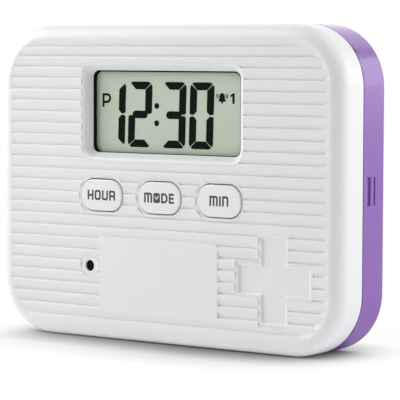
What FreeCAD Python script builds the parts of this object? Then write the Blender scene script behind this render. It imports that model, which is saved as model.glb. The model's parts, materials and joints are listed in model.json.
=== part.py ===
import FreeCAD, Part
import math
import os

# Electronic pill box: a white electronics lid hinged like a book cover on a purple pill tray.
# Millimetres. +X to the right, +Y towards the back, +Z up. The box stands on Z = 0,
# with X = 0 at the middle of its width and Y = 0 at the middle of its depth.

Vec = FreeCAD.Vector

# Box
box_width = 89.0
box_height = 67.0
cover_depth = 8.0
tray_depth = 8.8
corner_radius = 12.7
cover_edge_radius = 3.0
tray_edge_radius = 1.5
side_wall = 1.8
face_wall = 2.0
floor_wall = 1.6
parting_gap = 0.3

# Clearances and overrun shared by the whole model
overrun = 1.0
fit_clearance = 0.15
moving_clearance = 0.3
running_clearance = 0.05
press_clearance = 0.02
corner_limit_share = 0.48
match_tolerance = 0.0001

# Reeded face
groove_pitch = 2.45
groove_top_margin = 3.74
groove_bottom_margin = 4.4
groove_crowd = 0.75
crowd_share = 0.5
groove_depth = 0.58
groove_runout = 1.6
crest_drop = 0.02
rise_share = 0.15
flat_share = 0.15
bulge_share = 0.3
plain_depth = 0.3

# Display window and its sloped bezel
window_x = -0.4
window_drop = 18.35
window_width = 38.6
window_height = 17.5
window_radius = 1.5
bezel_slope = 1.25
bezel_land = 0.15
bezel_shoulder = 1.0
window_surround = 0.6

# Display stack
gasket_depth = 0.9
gasket_lip = 0.2
gasket_shift = 0.1
lcd_border = 2.0
lcd_ledge = 2.2
glass_thickness = 0.7
lcd_rail = 1.0
connector_width = 1.6

# Keys
button_x = -0.55
button_drop = 9.05
button_pitch = 15.4
button_width = 10.8
button_height = 6.65
button_radius = 3.0
button_gap = 0.25
button_surround = 0.55
button_proud = 0.05
button_edge = 0.3
flange_reach = 0.8
flange_thickness = 0.8
flange_gap = 0.1
plunger_radius = 2.0

# Silicone domes under the keys
dome_height = 1.5
dome_base_radius = 3.3
dome_foot_radius = 2.9
dome_top_radius = 1.9
dome_foot = 0.35
dome_wall = 0.45
dome_roof = 0.5
pad_radius = 1.8
pad_thickness = 0.06

# Sound hole and sounder
sound_inset = 25.1
sound_z = 15.6
sound_radius = 1.2
sound_pad_radius = 2.4
sound_wall = 0.45
mesh_radius = 2.0
mesh_thickness = 0.15
sounder_radius = 10.0
sounder_thickness = 0.25
sounder_ring_height = 1.2
sounder_ring_wall = 1.4
sounder_ring_lip = 0.2
ceramic_radius = 7.0
ceramic_thickness = 0.2
leaf_thickness = 0.2
leaf_width = 1.4
leaf_foot = 1.6
leaf_run = 3.0
leaf_gap = 0.05

# Plain panel and recessed cross on the face
panel_x = -1.1
panel_z = 13.85
panel_width = 31.0
panel_height = 15.9
panel_radius = 0.8
panel_bevel = 0.45
cross_inset = 16.25
cross_z = 15.2
cross_half_length = 8.4
cross_half_width = 2.65
cross_corner = 0.35
cross_bevel = 0.45
cross_rim = 0.6
cross_depth = 0.42

# Hinge on the left side
hinge_offset = 0.7
hinge_radius = 1.7
hinge_length = 36.0
lid_knuckle_length = 18.0
pin_radius = 0.6
knuckle_gap = 0.25
web_drop = 2.6
web_bite = 0.5

# Lid back plate, its closing lip and its screws
plate_thickness = 1.2
lip_wall = 0.8
lip_reach = 0.8
lid_boss_radius = 2.3
lid_boss_inset_x = 7.0
lid_boss_inset_z = 6.5
lid_screw_radius = 0.8
lid_screw_head_radius = 1.9
lid_screw_head = 0.9
lid_screw_length = 4.4
drive_width = 0.45
drive_depth = 0.4

# Circuit board
board_standoff = 2.9
board_thickness = 0.8
board_gap = 1.2
board_top_margin = 4.5
board_above_cell = 8.0
board_below_sounder = 5.8
board_step = 14.4
board_boss_radius = 1.9
board_boss_inset = 5.0
board_boss_drop = 6.5
board_boss_rise = 7.5
board_screw_radius = 0.7
board_screw_head_radius = 1.5
board_screw_head = 0.65
board_screw_length = 3.0
blob_x = -3.0
blob_drop = 15.5
blob_radius = 4.5
blob_height = 0.7
crystal_gap = 3.45
crystal_rise = 16.0
crystal_radius = 1.0
crystal_length = 6.0
chip_length = 1.6
chip_width = 0.8
chip_height = 0.5
chip_row_x = 9.0
chip_row_rise = 18.0
chip_pitch_x = 4.0
chip_pitch_z = 4.0
chip_columns = 4
chip_rows = 2

# Battery, its cradle, contacts and door
cell_inset = 19.5
cell_z = 16.0
cell_radius = 10.0
cell_thickness = 3.2
cell_cap_radius = 8.8
cell_cap = 0.3
cell_gap = 0.25
cradle_gap = 0.5
cradle_wall = 1.0
contact_thickness = 0.25
contact_width = 5.0
contact_half_span = 5.0
contact_touch = 1.5
tab_width = 2.4
tab_overlap = 1.2
tab_angle = 58.0
positive_angle = 15.0
positive_span = 47.0
positive_height = 1.8
door_radius = 11.2
door_gap = 0.15
door_skirt_inset = 0.2
door_skirt_wall = 0.55
lug_reach = 1.4
lug_thickness = 0.9
lug_gap = 0.12
lug_span = 32.0
lug_slot_ease = 4.0
door_turn = 45.0
coin_slot_length = 15.0
coin_slot_width = 1.8
coin_slot_depth = 0.55

# Pill compartments
divider = 1.4
divider_drop = 0.3
pocket_corner = 3.0
pocket_foot = 1.2

# Latch on the right side
latch_width = 5.0
latch_arm = 0.9
latch_reach = 5.0
tooth_height = 0.7
tooth_length = 0.7
tooth_depth = 4.05
latch_foot_length = 3.6
latch_foot_width = 8.0
latch_foot_thickness = 0.9
housing_wall = 1.2
pry_start = 0.5
pry_end = 2.8
pry_depth = 0.4
pry_height = 5.7
slot_width = 0.5

# Planes and places that the pieces share
mid_z = box_height / 2
half_width = box_width / 2
window_z = box_height - window_drop
button_z = window_z - window_height / 2 - button_drop
sound_x = -half_width + sound_inset
cross_x = half_width - cross_inset
cell_x = half_width - cell_inset
back_y = (cover_depth + tray_depth) / 2
front_y = -back_y
parting_y = front_y + cover_depth
cover_rim_y = parting_y - parting_gap / 2
tray_rim_y = parting_y + parting_gap / 2
inner_y = front_y + face_wall
floor_y = back_y - floor_wall
plain_y = front_y + plain_depth
plate_front_y = cover_rim_y - plate_thickness
board_front_y = inner_y + board_standoff
board_back_y = board_front_y + board_thickness
inner_half_width = half_width - side_wall
cell_back_y = plate_front_y - cell_gap
cell_front_y = cell_back_y - cell_thickness
lug_back_y = plate_front_y - lug_gap
lug_front_y = lug_back_y - lug_thickness
cradle_radius = cell_radius + cradle_gap
hinge_x = -half_width - hinge_offset
sound_seat_y = plain_y + sound_wall
sounder_y = inner_y + sounder_ring_height
tray_floor_depth = floor_y - tray_rim_y

key_names = ["hour", "mode", "minute"]
key_places = [button_x + button_pitch * (place - 1) for place in range(len(key_names))]
lid_boss_places = [(sx * (half_width - lid_boss_inset_x), mid_z + sz * (mid_z - lid_boss_inset_z))
                   for sx in (-1, 1) for sz in (-1, 1)]
board_half_width = half_width - lid_boss_inset_x - lid_boss_radius - board_gap
board_high = box_height - board_top_margin
board_right_low = cell_z + board_above_cell
board_left_low = sound_z - board_below_sounder
board_boss_heights = (board_right_low + board_boss_rise, board_high - board_boss_drop)
board_boss_places = [(sx * (board_half_width - board_boss_inset), z) for sx in (-1, 1) for z in board_boss_heights]


# Shape helpers

def slab(x0, x1, y0, y1, z0, z1):
    return Part.makeBox(x1 - x0, y1 - y0, z1 - z0, Vec(x0, y0, z0))


def disc(x, z, radius, y0, y1):
    return Part.makeCylinder(radius, y1 - y0, Vec(x, y0, z), Vec(0, 1, 0))


def cone(x, z, radius0, radius1, y0, y1):
    return Part.makeCone(radius0, radius1, y1 - y0, Vec(x, y0, z), Vec(0, 1, 0))


def ring(x, z, inside, outside, y0, y1):
    return disc(x, z, outside, y0, y1).cut(disc(x, z, inside, y0 - overrun, y1 + overrun))


def post(x, y, radius, z0, z1):
    return Part.makeCylinder(radius, z1 - z0, Vec(x, y, z0), Vec(0, 0, 1))


def cornered_wire(left, right, low, high, radii, y):
    # Rectangle seen from the front, with its own radius at each corner:
    # low left, low right, high right, high left
    limit = corner_limit_share * min(right - left, high - low)
    ll, lr, hr, hl = [min(radius, limit) for radius in radii]
    bend_share = 1 - math.sqrt(0.5)

    def at(x, z):
        return Vec(x, y, z)

    edges = [
        Part.LineSegment(at(left + ll, low), at(right - lr, low)),
        Part.Arc(at(right - lr, low), at(right - lr * bend_share, low + lr * bend_share), at(right, low + lr)),
        Part.LineSegment(at(right, low + lr), at(right, high - hr)),
        Part.Arc(at(right, high - hr), at(right - hr * bend_share, high - hr * bend_share), at(right - hr, high)),
        Part.LineSegment(at(right - hr, high), at(left + hl, high)),
        Part.Arc(at(left + hl, high), at(left + hl * bend_share, high - hl * bend_share), at(left, high - hl)),
        Part.LineSegment(at(left, high - hl), at(left, low + ll)),
        Part.Arc(at(left, low + ll), at(left + ll * bend_share, low + ll * bend_share), at(left + ll, low)),
    ]
    return Part.Wire([edge.toShape() for edge in edges])


def rounded_wire(x, z, width, height, radius, y):
    return cornered_wire(x - width / 2, x + width / 2, z - height / 2, z + height / 2, [radius] * 4, y)


def rounded_block(x, z, width, height, radius, y0, y1):
    return Part.Face(rounded_wire(x, z, width, height, radius, y0)).extrude(Vec(0, y1 - y0, 0))


def tapered_block(x, z, size0, radius0, y0, size1, radius1, y1):
    wires = [rounded_wire(x, z, size0[0], size0[1], radius0, y0),
             rounded_wire(x, z, size1[0], size1[1], radius1, y1)]
    return Part.makeLoft(wires, True, True)


def prism(points, along):
    return Part.Face(Part.makePolygon(points + points[:1])).extrude(along)


def turned(shape, x, z, angle):
    # A positive angle turns +X towards +Z
    copy = shape.copy()
    copy.rotate(Vec(x, 0, z), Vec(0, 1, 0), -angle)
    return copy


def sector(x, z, inside, outside, y0, y1, middle_angle, span):
    reach = outside / math.cos(math.radians(span / 2)) + overrun
    half = reach * math.tan(math.radians(span / 2))
    wedge = prism([Vec(x, y0, z), Vec(x + reach, y0, z - half), Vec(x + reach, y0, z + half)], Vec(0, y1 - y0, 0))
    return ring(x, z, inside, outside, y0, y1).common(turned(wedge, x, z, middle_angle))


def edges_in_plane(shape, y):
    return [edge for edge in shape.Edges
            if abs(edge.BoundBox.YMin - y) < match_tolerance and abs(edge.BoundBox.YMax - y) < match_tolerance]


def edges_along_depth(shape):
    return [edge for edge in shape.Edges
            if edge.BoundBox.XLength < match_tolerance and edge.BoundBox.ZLength < match_tolerance]


def joined(shapes):
    return shapes[0].fuse(shapes[1:]).removeSplitter()


def emit(name, shape):
    shape.exportStep("parts/" + name + ".step")
    print(name, len(shape.Solids), "solids", round(shape.Volume, 2), "mm3", shape.isValid())


# Shapes that more than one piece needs

def box_half(y0, y1, edge_y, edge_radius):
    block = rounded_block(0, mid_z, box_width, box_height, corner_radius, y0, y1)
    return block.makeFillet(edge_radius, edges_in_plane(block, edge_y))


def box_inside(inset, y0, y1):
    width = box_width - 2 * inset
    height = box_height - 2 * inset
    return rounded_block(0, mid_z, width, height, corner_radius - inset, y0, y1)


def hinge_spans():
    # Heights of the lid's middle knuckle and of the tray's two outer ones
    low = mid_z - hinge_length / 2
    high = mid_z + hinge_length / 2
    lid_low = mid_z - lid_knuckle_length / 2
    lid_high = mid_z + lid_knuckle_length / 2
    return [(lid_low, lid_high)], [(low, lid_low - knuckle_gap), (lid_high + knuckle_gap, high)]


def knuckle(z0, z1, side):
    # side is -1 on the lid and 1 on the tray; the web runs from the barrel to that half's wall
    slant_share = math.sqrt(0.5)
    lift = Vec(0, 0, z1 - z0)
    web = prism([
        Vec(hinge_x - hinge_radius * slant_share, parting_y + side * hinge_radius * slant_share, z0),
        Vec(-half_width, parting_y + side * web_drop, z0),
        Vec(-half_width + web_bite, parting_y + side * web_drop, z0),
        Vec(-half_width + web_bite, parting_y + side * parting_gap / 2, z0),
        Vec(hinge_x, parting_y, z0),
    ], lift)
    return post(hinge_x, parting_y, hinge_radius, z0, z1).fuse(web)


def knuckle_room(z0, z1):
    return post(hinge_x, parting_y, hinge_radius + moving_clearance, z0 - knuckle_gap, z1 + knuckle_gap)


def pin_bore(z0, z1, clearance):
    return post(hinge_x, parting_y, pin_radius + clearance, z0 - overrun, z1 + overrun)


def cross_block(half_length, half_width_of_arm, y0, y1):
    a = half_length
    b = half_width_of_arm
    outline = [(-b, -a), (b, -a), (b, -b), (a, -b), (a, b), (b, b),
               (b, a), (-b, a), (-b, b), (-a, b), (-a, -b), (-b, -b)]
    block = prism([Vec(cross_x + x, y0, cross_z + z) for x, z in outline], Vec(0, y1 - y0, 0))
    return block.makeFillet(cross_corner, edges_along_depth(block))


# Front cover

def groove_tool():
    # Side view of all the grooves as one comb. Each rib rises fast below a groove to a flat crest,
    # then curves slowly back to the next groove. The grooves close up a little towards the top,
    # and run out in a slope before the rounded edge of the cover, which stays plain
    count = int((box_height - groove_top_margin - groove_bottom_margin) / groove_pitch) + 1
    top = box_height - groove_top_margin
    heights = [top - groove_pitch * number - groove_crowd * crowd_share ** number for number in range(count)]
    start_x = -half_width - overrun
    rib_y = front_y + crest_drop
    bottom_y = front_y + groove_depth
    outside_y = front_y - overrun
    rise = groove_pitch * rise_share
    fall_share = 1 - rise_share - flat_share

    def at(y, z):
        return Vec(start_x, y, z)

    def line(z0, y0, z1, y1):
        return Part.LineSegment(at(y0, z0), at(y1, z1))

    def curve(z0, y0, z1, y1):
        bulge_y = min(y0, y1) + abs(y1 - y0) * bulge_share
        return Part.Arc(at(y0, z0), at(bulge_y, (z0 + z1) / 2), at(y1, z1))

    first = heights[0] + groove_pitch * fall_share
    last = heights[-1] - rise
    edges = [line(first, outside_y, first, front_y), curve(first, front_y, heights[0], bottom_y)]
    for high, low in zip(heights, heights[1:]):
        crest_low = low + (high - low) * fall_share
        edges.append(curve(high, bottom_y, high - rise, rib_y))
        edges.append(line(high - rise, rib_y, crest_low, rib_y))
        edges.append(curve(crest_low, rib_y, low, bottom_y))
    edges.append(curve(heights[-1], bottom_y, last, front_y))
    edges.append(line(last, front_y, last, outside_y))
    edges.append(line(last, outside_y, first, outside_y))
    comb = Part.Face(Part.Wire([edge.toShape() for edge in edges]))
    comb = comb.extrude(Vec(box_width + 2 * overrun, 0, 0))
    ends = []
    for y in (outside_y - overrun, bottom_y + overrun):
        inset = cover_edge_radius + (y - front_y) * groove_runout / groove_depth
        ends.append(rounded_wire(0, mid_z, box_width - 2 * inset, box_height - 2 * inset, corner_radius - inset, y))
    return comb.common(Part.makeLoft(ends, True, True))


def plain_areas(y0, y1):
    # Flat places of the reeded face, all at one level below the ribs: round the window, keys,
    # sound hole and cross
    grow = 2 * (bezel_slope + window_surround)
    areas = [rounded_block(window_x, window_z, window_width + grow, window_height + grow,
                           window_radius + grow / 2, y0, y1)]
    rim = button_gap + button_surround
    areas += [rounded_block(x, button_z, button_width + 2 * rim, button_height + 2 * rim,
                            button_radius + rim, y0, y1) for x in key_places]
    areas.append(disc(sound_x, sound_z, sound_pad_radius, y0, y1))
    rim = cross_bevel + cross_rim
    areas.append(cross_block(cross_half_length + rim, cross_half_width + rim, y0, y1))
    return areas


def panel_island():
    # Block that keeps the grooves out of the plain panel, with sloped edges
    slope = panel_bevel / groove_depth
    outer_y = front_y - overrun
    inner_end_y = front_y + groove_depth + overrun
    out = 2 * slope * overrun
    size0 = (panel_width - out, panel_height - out)
    run = 2 * slope * (inner_end_y - front_y)
    size1 = (panel_width + run, panel_height + run)
    return tapered_block(panel_x, panel_z, size0, panel_radius, outer_y, size1, panel_radius, inner_end_y)


def bezel_cut(shell):
    # Sloped frame of the window with a rounded shoulder, let into the plain area round it
    outer_y = front_y - overrun
    shell = shell.cut(plain_areas(outer_y, plain_y)[0])
    width = window_width + 2 * bezel_slope
    height = window_height + 2 * bezel_slope
    radius = window_radius + bezel_slope
    shell = shell.cut(tapered_block(window_x, window_z, (width, height), radius, plain_y,
                                    (window_width, window_height), window_radius, inner_y - bezel_land))
    frame = FreeCAD.BoundBox(window_x - width / 2, plain_y, window_z - height / 2,
                             window_x + width / 2, plain_y, window_z + height / 2)
    frame.enlarge(fit_clearance)
    shoulder = [edge for edge in edges_in_plane(shell, plain_y) if frame.isInside(edge.BoundBox)]
    shell = shell.makeFillet(bezel_shoulder, shoulder)
    return shell.cut(rounded_block(window_x, window_z, window_width, window_height, window_radius,
                                   plain_y, inner_y + overrun))


def cross_outline(half_length, half_width_of_arm, y):
    block = cross_block(half_length, half_width_of_arm, y, y + overrun)
    return [face for face in block.Faces if face.BoundBox.YMax < y + match_tolerance][0].OuterWire


def cross_pocket():
    # Shallow cross with walls that slope outwards to the plain rim
    wires = [cross_outline(cross_half_length + cross_bevel, cross_half_width + cross_bevel, plain_y),
             cross_outline(cross_half_length, cross_half_width, plain_y + cross_depth)]
    return Part.makeLoft(wires, True, True)


def face_cuts():
    outer_y = front_y - overrun
    through_y = inner_y + overrun
    islands = plain_areas(outer_y, front_y + groove_depth + overrun) + [panel_island()]
    cuts = [groove_tool().cut(islands)]
    cuts += plain_areas(outer_y, plain_y)[1:]
    ease = 2 * button_gap
    cuts += [rounded_block(x, button_z, button_width + ease, button_height + ease,
                           button_radius + button_gap, outer_y, through_y) for x in key_places]
    cuts.append(disc(sound_x, sound_z, sound_radius, outer_y, through_y))
    cuts.append(disc(sound_x, sound_z, mesh_radius + fit_clearance, sound_seat_y, through_y))
    cuts.append(cross_pocket())
    return cuts


def lcd_outline(margin, y0, y1):
    # Block round the display's front glass, which reaches up past the window for its contacts
    left = window_x - window_width / 2 - lcd_border - margin
    right = window_x + window_width / 2 + lcd_border + margin
    low = window_z - window_height / 2 - lcd_border - margin
    high = window_z + window_height / 2 + lcd_border + lcd_ledge + margin
    return slab(left, right, y0, y1, low, high)


def cradle():
    end_y = lug_front_y - moving_clearance
    wall = ring(cell_x, cell_z, cradle_radius, cradle_radius + cradle_wall, inner_y - press_clearance, end_y)
    reach = cradle_radius + cradle_wall + overrun
    negative_gap = slab(cell_x - contact_width / 2 - moving_clearance, cell_x + contact_width / 2 + moving_clearance,
                        inner_y - overrun, end_y + overrun, cell_z, cell_z + reach)
    positive_gap = slab(cell_x, cell_x + reach, inner_y - overrun, end_y + overrun,
                        cell_z - tab_width / 2 - moving_clearance, cell_z + tab_width / 2 + moving_clearance)
    return wall.cut(negative_gap).cut(turned(positive_gap, cell_x, cell_z, tab_angle))


def front_cover():
    lid_spans, tray_spans = hinge_spans()
    shell = box_half(front_y, cover_rim_y, front_y, cover_edge_radius)
    shell = shell.cut(box_inside(side_wall, inner_y, cover_rim_y + overrun))
    shell = bezel_cut(shell)
    for tool in face_cuts():
        shell = shell.cut(tool)
    root_y = inner_y - press_clearance
    added = [disc(x, z, lid_boss_radius, root_y, plate_front_y) for x, z in lid_boss_places]
    added += [disc(x, z, board_boss_radius, root_y, board_front_y) for x, z in board_boss_places]
    rail_y = inner_y + gasket_depth + glass_thickness
    rail = lcd_outline(fit_clearance + lcd_rail, root_y, rail_y)
    added.append(rail.cut(lcd_outline(fit_clearance, root_y - overrun, rail_y + overrun)))
    ring_inside = sounder_radius + sounder_ring_lip - sounder_ring_wall
    added.append(ring(sound_x, sound_z, ring_inside, sounder_radius + sounder_ring_lip, root_y, sounder_y))
    added.append(cradle())
    added += [knuckle(z0, z1, -1) for z0, z1 in lid_spans]
    shell = joined([shell] + added)
    holes = [disc(x, z, lid_screw_radius + running_clearance, plate_front_y - lid_screw_length, cover_rim_y)
             for x, z in lid_boss_places]
    holes += [disc(x, z, board_screw_radius + running_clearance, board_front_y - board_screw_length + overrun / 2,
                   board_back_y) for x, z in board_boss_places]
    holes += [knuckle_room(z0, z1) for z0, z1 in tray_spans]
    holes += [pin_bore(z0, z1, running_clearance) for z0, z1 in lid_spans]
    return shell.cut(holes)


# Display stack

def lcd_gasket():
    lip = 2 * gasket_lip
    opening = rounded_block(window_x, window_z - gasket_shift, window_width - lip, window_height - lip,
                            window_radius, inner_y - overrun, inner_y + gasket_depth + overrun)
    return lcd_outline(0, inner_y, inner_y + gasket_depth).cut(opening)


def lcd_panel():
    glass_y = inner_y + gasket_depth
    front_glass = lcd_outline(0, glass_y, glass_y + glass_thickness)
    width = window_width + 2 * lcd_border
    height = window_height + 2 * lcd_border
    back_glass = slab(window_x - width / 2, window_x + width / 2, glass_y + glass_thickness,
                      glass_y + 2 * glass_thickness, window_z - height / 2, window_z + height / 2)
    return joined([front_glass, back_glass])


def lcd_connector():
    middle = window_z + window_height / 2 + lcd_border + lcd_ledge / 2
    return slab(window_x - window_width / 2, window_x + window_width / 2,
                inner_y + gasket_depth + glass_thickness, board_front_y,
                middle - connector_width / 2, middle + connector_width / 2)


# Keys and domes

def button(x):
    head_y = front_y - button_proud
    flange_y = inner_y + flange_gap
    flange_end_y = flange_y + flange_thickness
    cap = rounded_block(x, button_z, button_width, button_height, button_radius, head_y, flange_end_y)
    cap = cap.makeFillet(button_edge, edges_in_plane(cap, head_y))
    grow = 2 * (button_gap + flange_reach)
    flange = rounded_block(x, button_z, button_width + grow, button_height + grow,
                           button_radius + grow / 2, flange_y, flange_end_y)
    plunger = disc(x, button_z, plunger_radius, flange_y, board_front_y - dome_height)
    return joined([cap, flange, plunger])


def dome(x):
    top_y = board_front_y - dome_height
    foot_y = board_front_y - dome_foot
    outside = disc(x, button_z, dome_base_radius, foot_y, board_front_y)
    outside = outside.fuse(cone(x, button_z, dome_top_radius, dome_foot_radius, top_y, foot_y))
    inside = cone(x, button_z, dome_top_radius - dome_wall, dome_foot_radius - dome_wall,
                  top_y + dome_roof, board_front_y)
    return outside.cut(inside)


def contact_pads():
    return [disc(x, button_z, pad_radius, board_front_y - pad_thickness, board_front_y) for x in key_places]


# Circuit board

def main_board():
    step_x = sound_x + board_step
    outline = [(-board_half_width, board_left_low), (step_x, board_left_low),
               (step_x, board_right_low), (board_half_width, board_right_low),
               (board_half_width, board_high), (-board_half_width, board_high)]
    board = prism([Vec(x, board_front_y, z) for x, z in outline], Vec(0, board_thickness, 0))
    door_room = door_radius + door_gap + lug_reach + moving_clearance
    cuts = [disc(cell_x, cell_z, door_room, board_front_y - overrun, board_back_y + overrun)]
    cuts += [disc(x, z, board_screw_radius + fit_clearance, board_front_y - overrun, board_back_y + overrun)
             for x, z in board_boss_places]
    return board.cut(cuts)


def board_screw(x, z):
    head = disc(x, z, board_screw_head_radius, board_back_y, board_back_y + board_screw_head)
    shank = disc(x, z, board_screw_radius, board_back_y - board_screw_length, board_back_y)
    end_y = board_back_y + board_screw_head
    screw = joined([head, shank])
    return screw.cut(cross_drive(x, z, board_screw_head_radius, end_y))


def cross_drive(x, z, head_radius, end_y):
    reach = head_radius / 2
    tall = slab(x - drive_width / 2, x + drive_width / 2, end_y - drive_depth, end_y + overrun, z - reach, z + reach)
    return [tall, turned(tall, x, z, 90)]


def driver_chip_blob():
    radius = (blob_radius ** 2 + blob_height ** 2) / (2 * blob_height)
    blob_z = board_high - blob_drop
    ball = Part.makeSphere(radius, Vec(blob_x, board_back_y + blob_height - radius, blob_z))
    end_y = board_back_y + blob_height + overrun
    return ball.common(disc(blob_x, blob_z, blob_radius + overrun, board_back_y, end_y))


def quartz_crystal():
    y = board_front_y - crystal_radius - press_clearance
    low = board_right_low + crystal_rise
    rail_x = window_x + window_width / 2 + lcd_border + fit_clearance + lcd_rail
    return post(rail_x + crystal_gap + crystal_radius, y, crystal_radius, low, low + crystal_length)


def board_passives():
    chips = []
    for column in range(chip_columns):
        for row in range(chip_rows):
            x = chip_row_x + chip_pitch_x * column
            z = board_right_low + chip_row_rise + chip_pitch_z * row
            chips.append(slab(x, x + chip_length, board_back_y, board_back_y + chip_height, z, z + chip_width))
    return chips


# Sounder

def buzzer_leaf(x, z, touch_y):
    # Bent leaf from the board down to the sounder, seen from above
    top_y = board_front_y - leaf_thickness
    low_y = touch_y + leaf_gap
    path = [(x, top_y), (x + leaf_foot, top_y), (x + leaf_foot + leaf_run, low_y),
            (x + 2 * leaf_foot + leaf_run, low_y)]
    back = [(px, py + leaf_thickness) for px, py in reversed(path)]
    return prism([Vec(px, py, z) for px, py in path + back], Vec(0, 0, leaf_width))


def buzzer_springs():
    ceramic_y = sounder_y + sounder_thickness + ceramic_thickness
    disc_y = sounder_y + sounder_thickness
    middle = leaf_foot + leaf_run + leaf_foot / 2
    rim_z = sound_z + (ceramic_radius + sounder_radius) / 2 - leaf_width / 2
    return [buzzer_leaf(sound_x - middle, sound_z, ceramic_y), buzzer_leaf(sound_x - middle, rim_z, disc_y)]


# Battery

def coin_cell():
    step_y = cell_front_y + cell_cap
    return joined([disc(cell_x, cell_z, cell_radius, step_y, cell_back_y),
                   disc(cell_x, cell_z, cell_cap_radius, cell_front_y, step_y)])


def battery_contact_negative():
    # Bowed leaf under the cell, with a leg up to the board
    top_y = cell_front_y - contact_thickness
    leg_z = cell_z + door_radius + door_gap + lug_reach + moving_clearance + tab_overlap
    path = [(cell_z - contact_half_span, inner_y), (cell_z - contact_touch, top_y), (cell_z + contact_touch, top_y),
            (cell_z + contact_half_span, inner_y), (leg_z, inner_y)]
    back = [(pz, py + contact_thickness) for pz, py in reversed(path)]
    start_x = cell_x - contact_width / 2
    leaf = prism([Vec(start_x, py, pz) for pz, py in path + back], Vec(contact_width, 0, 0))
    leg = slab(start_x, start_x + contact_width, inner_y, board_front_y, leg_z - contact_thickness, leg_z)
    return joined([leaf, leg])


def battery_contact_positive():
    inside = cell_radius + running_clearance
    low_y = cell_front_y + cell_cap + moving_clearance
    strip = sector(cell_x, cell_z, inside, inside + contact_thickness, low_y, low_y + positive_height,
                   positive_angle + positive_span / 2, positive_span)
    tab_end = door_radius + door_gap + lug_reach + moving_clearance + tab_overlap
    tab = slab(cell_x + inside, cell_x + tab_end, board_front_y - contact_thickness, board_front_y,
               cell_z - tab_width / 2, cell_z + tab_width / 2)
    riser = slab(cell_x + inside, cell_x + inside + contact_thickness, low_y, board_front_y,
                 cell_z - tab_width / 2, cell_z + tab_width / 2)
    return joined([strip, turned(riser, cell_x, cell_z, tab_angle), turned(tab, cell_x, cell_z, tab_angle)])


def battery_door():
    hole_radius = door_radius + door_gap
    skirt_outside = door_radius - door_skirt_inset
    skirt = ring(cell_x, cell_z, skirt_outside - door_skirt_wall, skirt_outside, lug_front_y, plate_front_y)
    pieces = [disc(cell_x, cell_z, door_radius, plate_front_y, cover_rim_y), skirt]
    for middle_angle in (0, 180):
        pieces.append(sector(cell_x, cell_z, skirt_outside - door_skirt_wall / 2, hole_radius + lug_reach,
                             lug_front_y, lug_back_y, middle_angle, lug_span))
    door = joined(pieces)
    coin_slot = rounded_block(cell_x, cell_z, coin_slot_length, coin_slot_width, coin_slot_width / 2,
                              cover_rim_y - coin_slot_depth, cover_rim_y + overrun)
    return door.cut(coin_slot)


# Lid back plate, its screws and the latch hook

def lid_screw(x, z):
    head = cone(x, z, lid_screw_radius, lid_screw_head_radius, cover_rim_y - lid_screw_head, cover_rim_y)
    shank = disc(x, z, lid_screw_radius, cover_rim_y - lid_screw_length, cover_rim_y - lid_screw_head)
    screw = joined([head, shank])
    return screw.cut(cross_drive(x, z, lid_screw_head_radius, cover_rim_y))


def latch_outside_x():
    return inner_half_width - moving_clearance


def closing_lip():
    # Low lip that stands inside the tray's wall and stops short of the dividers and the latch
    outset = side_wall + moving_clearance
    root_y = cover_rim_y - press_clearance
    end_y = tray_rim_y + lip_reach
    lip = box_inside(outset, root_y, end_y)
    lip = lip.cut(box_inside(outset + lip_wall, root_y - overrun, end_y + overrun))
    half = divider / 2 + pocket_corner + moving_clearance
    latch_half = latch_housing_half() + pocket_corner + moving_clearance
    return lip.cut([
        slab(-half, half, root_y - overrun, end_y + overrun, 0, box_height),
        slab(-half_width, 0, root_y - overrun, end_y + overrun, mid_z - half, mid_z + half),
        slab(0, half_width, root_y - overrun, end_y + overrun, mid_z - latch_half, mid_z + latch_half),
    ])


def lid_back_plate():
    plate = joined([box_inside(side_wall + fit_clearance, plate_front_y, cover_rim_y), closing_lip()])
    low_y = plate_front_y - overrun
    high_y = cover_rim_y + overrun
    hole_radius = door_radius + door_gap
    cuts = [disc(cell_x, cell_z, hole_radius, low_y, high_y)]
    for middle_angle in (-door_turn, 180 - door_turn):
        cuts.append(sector(cell_x, cell_z, hole_radius - overrun, hole_radius + lug_reach + door_gap,
                           low_y, high_y, middle_angle, lug_span + lug_slot_ease))
    for x, z in lid_boss_places:
        cuts.append(disc(x, z, lid_screw_radius + running_clearance, low_y, high_y))
        cuts.append(cone(x, z, lid_screw_radius + running_clearance, lid_screw_head_radius + running_clearance,
                         cover_rim_y - lid_screw_head, cover_rim_y))
    half = latch_width / 2 + fit_clearance
    cuts.append(slab(latch_outside_x() - latch_arm - fit_clearance, half_width, low_y, high_y,
                     mid_z - half, mid_z + half))
    return plate.cut(cuts)


def latch_hook():
    outside = latch_outside_x()
    inside = outside - latch_arm
    foot_y = plate_front_y - latch_foot_thickness
    end_y = parting_y + latch_reach
    tooth_y = parting_y + tooth_depth
    arm = slab(inside, outside, foot_y, end_y, mid_z - latch_width / 2, mid_z + latch_width / 2)
    foot = slab(outside - latch_foot_length, outside, foot_y, plate_front_y,
                mid_z - latch_foot_width / 2, mid_z + latch_foot_width / 2)
    tooth = prism([Vec(outside, tooth_y, mid_z - latch_width / 2),
                   Vec(outside + tooth_height, tooth_y, mid_z - latch_width / 2),
                   Vec(outside, tooth_y + tooth_length, mid_z - latch_width / 2)], Vec(0, 0, latch_width))
    return joined([arm, foot, tooth])


# Pill tray

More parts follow.
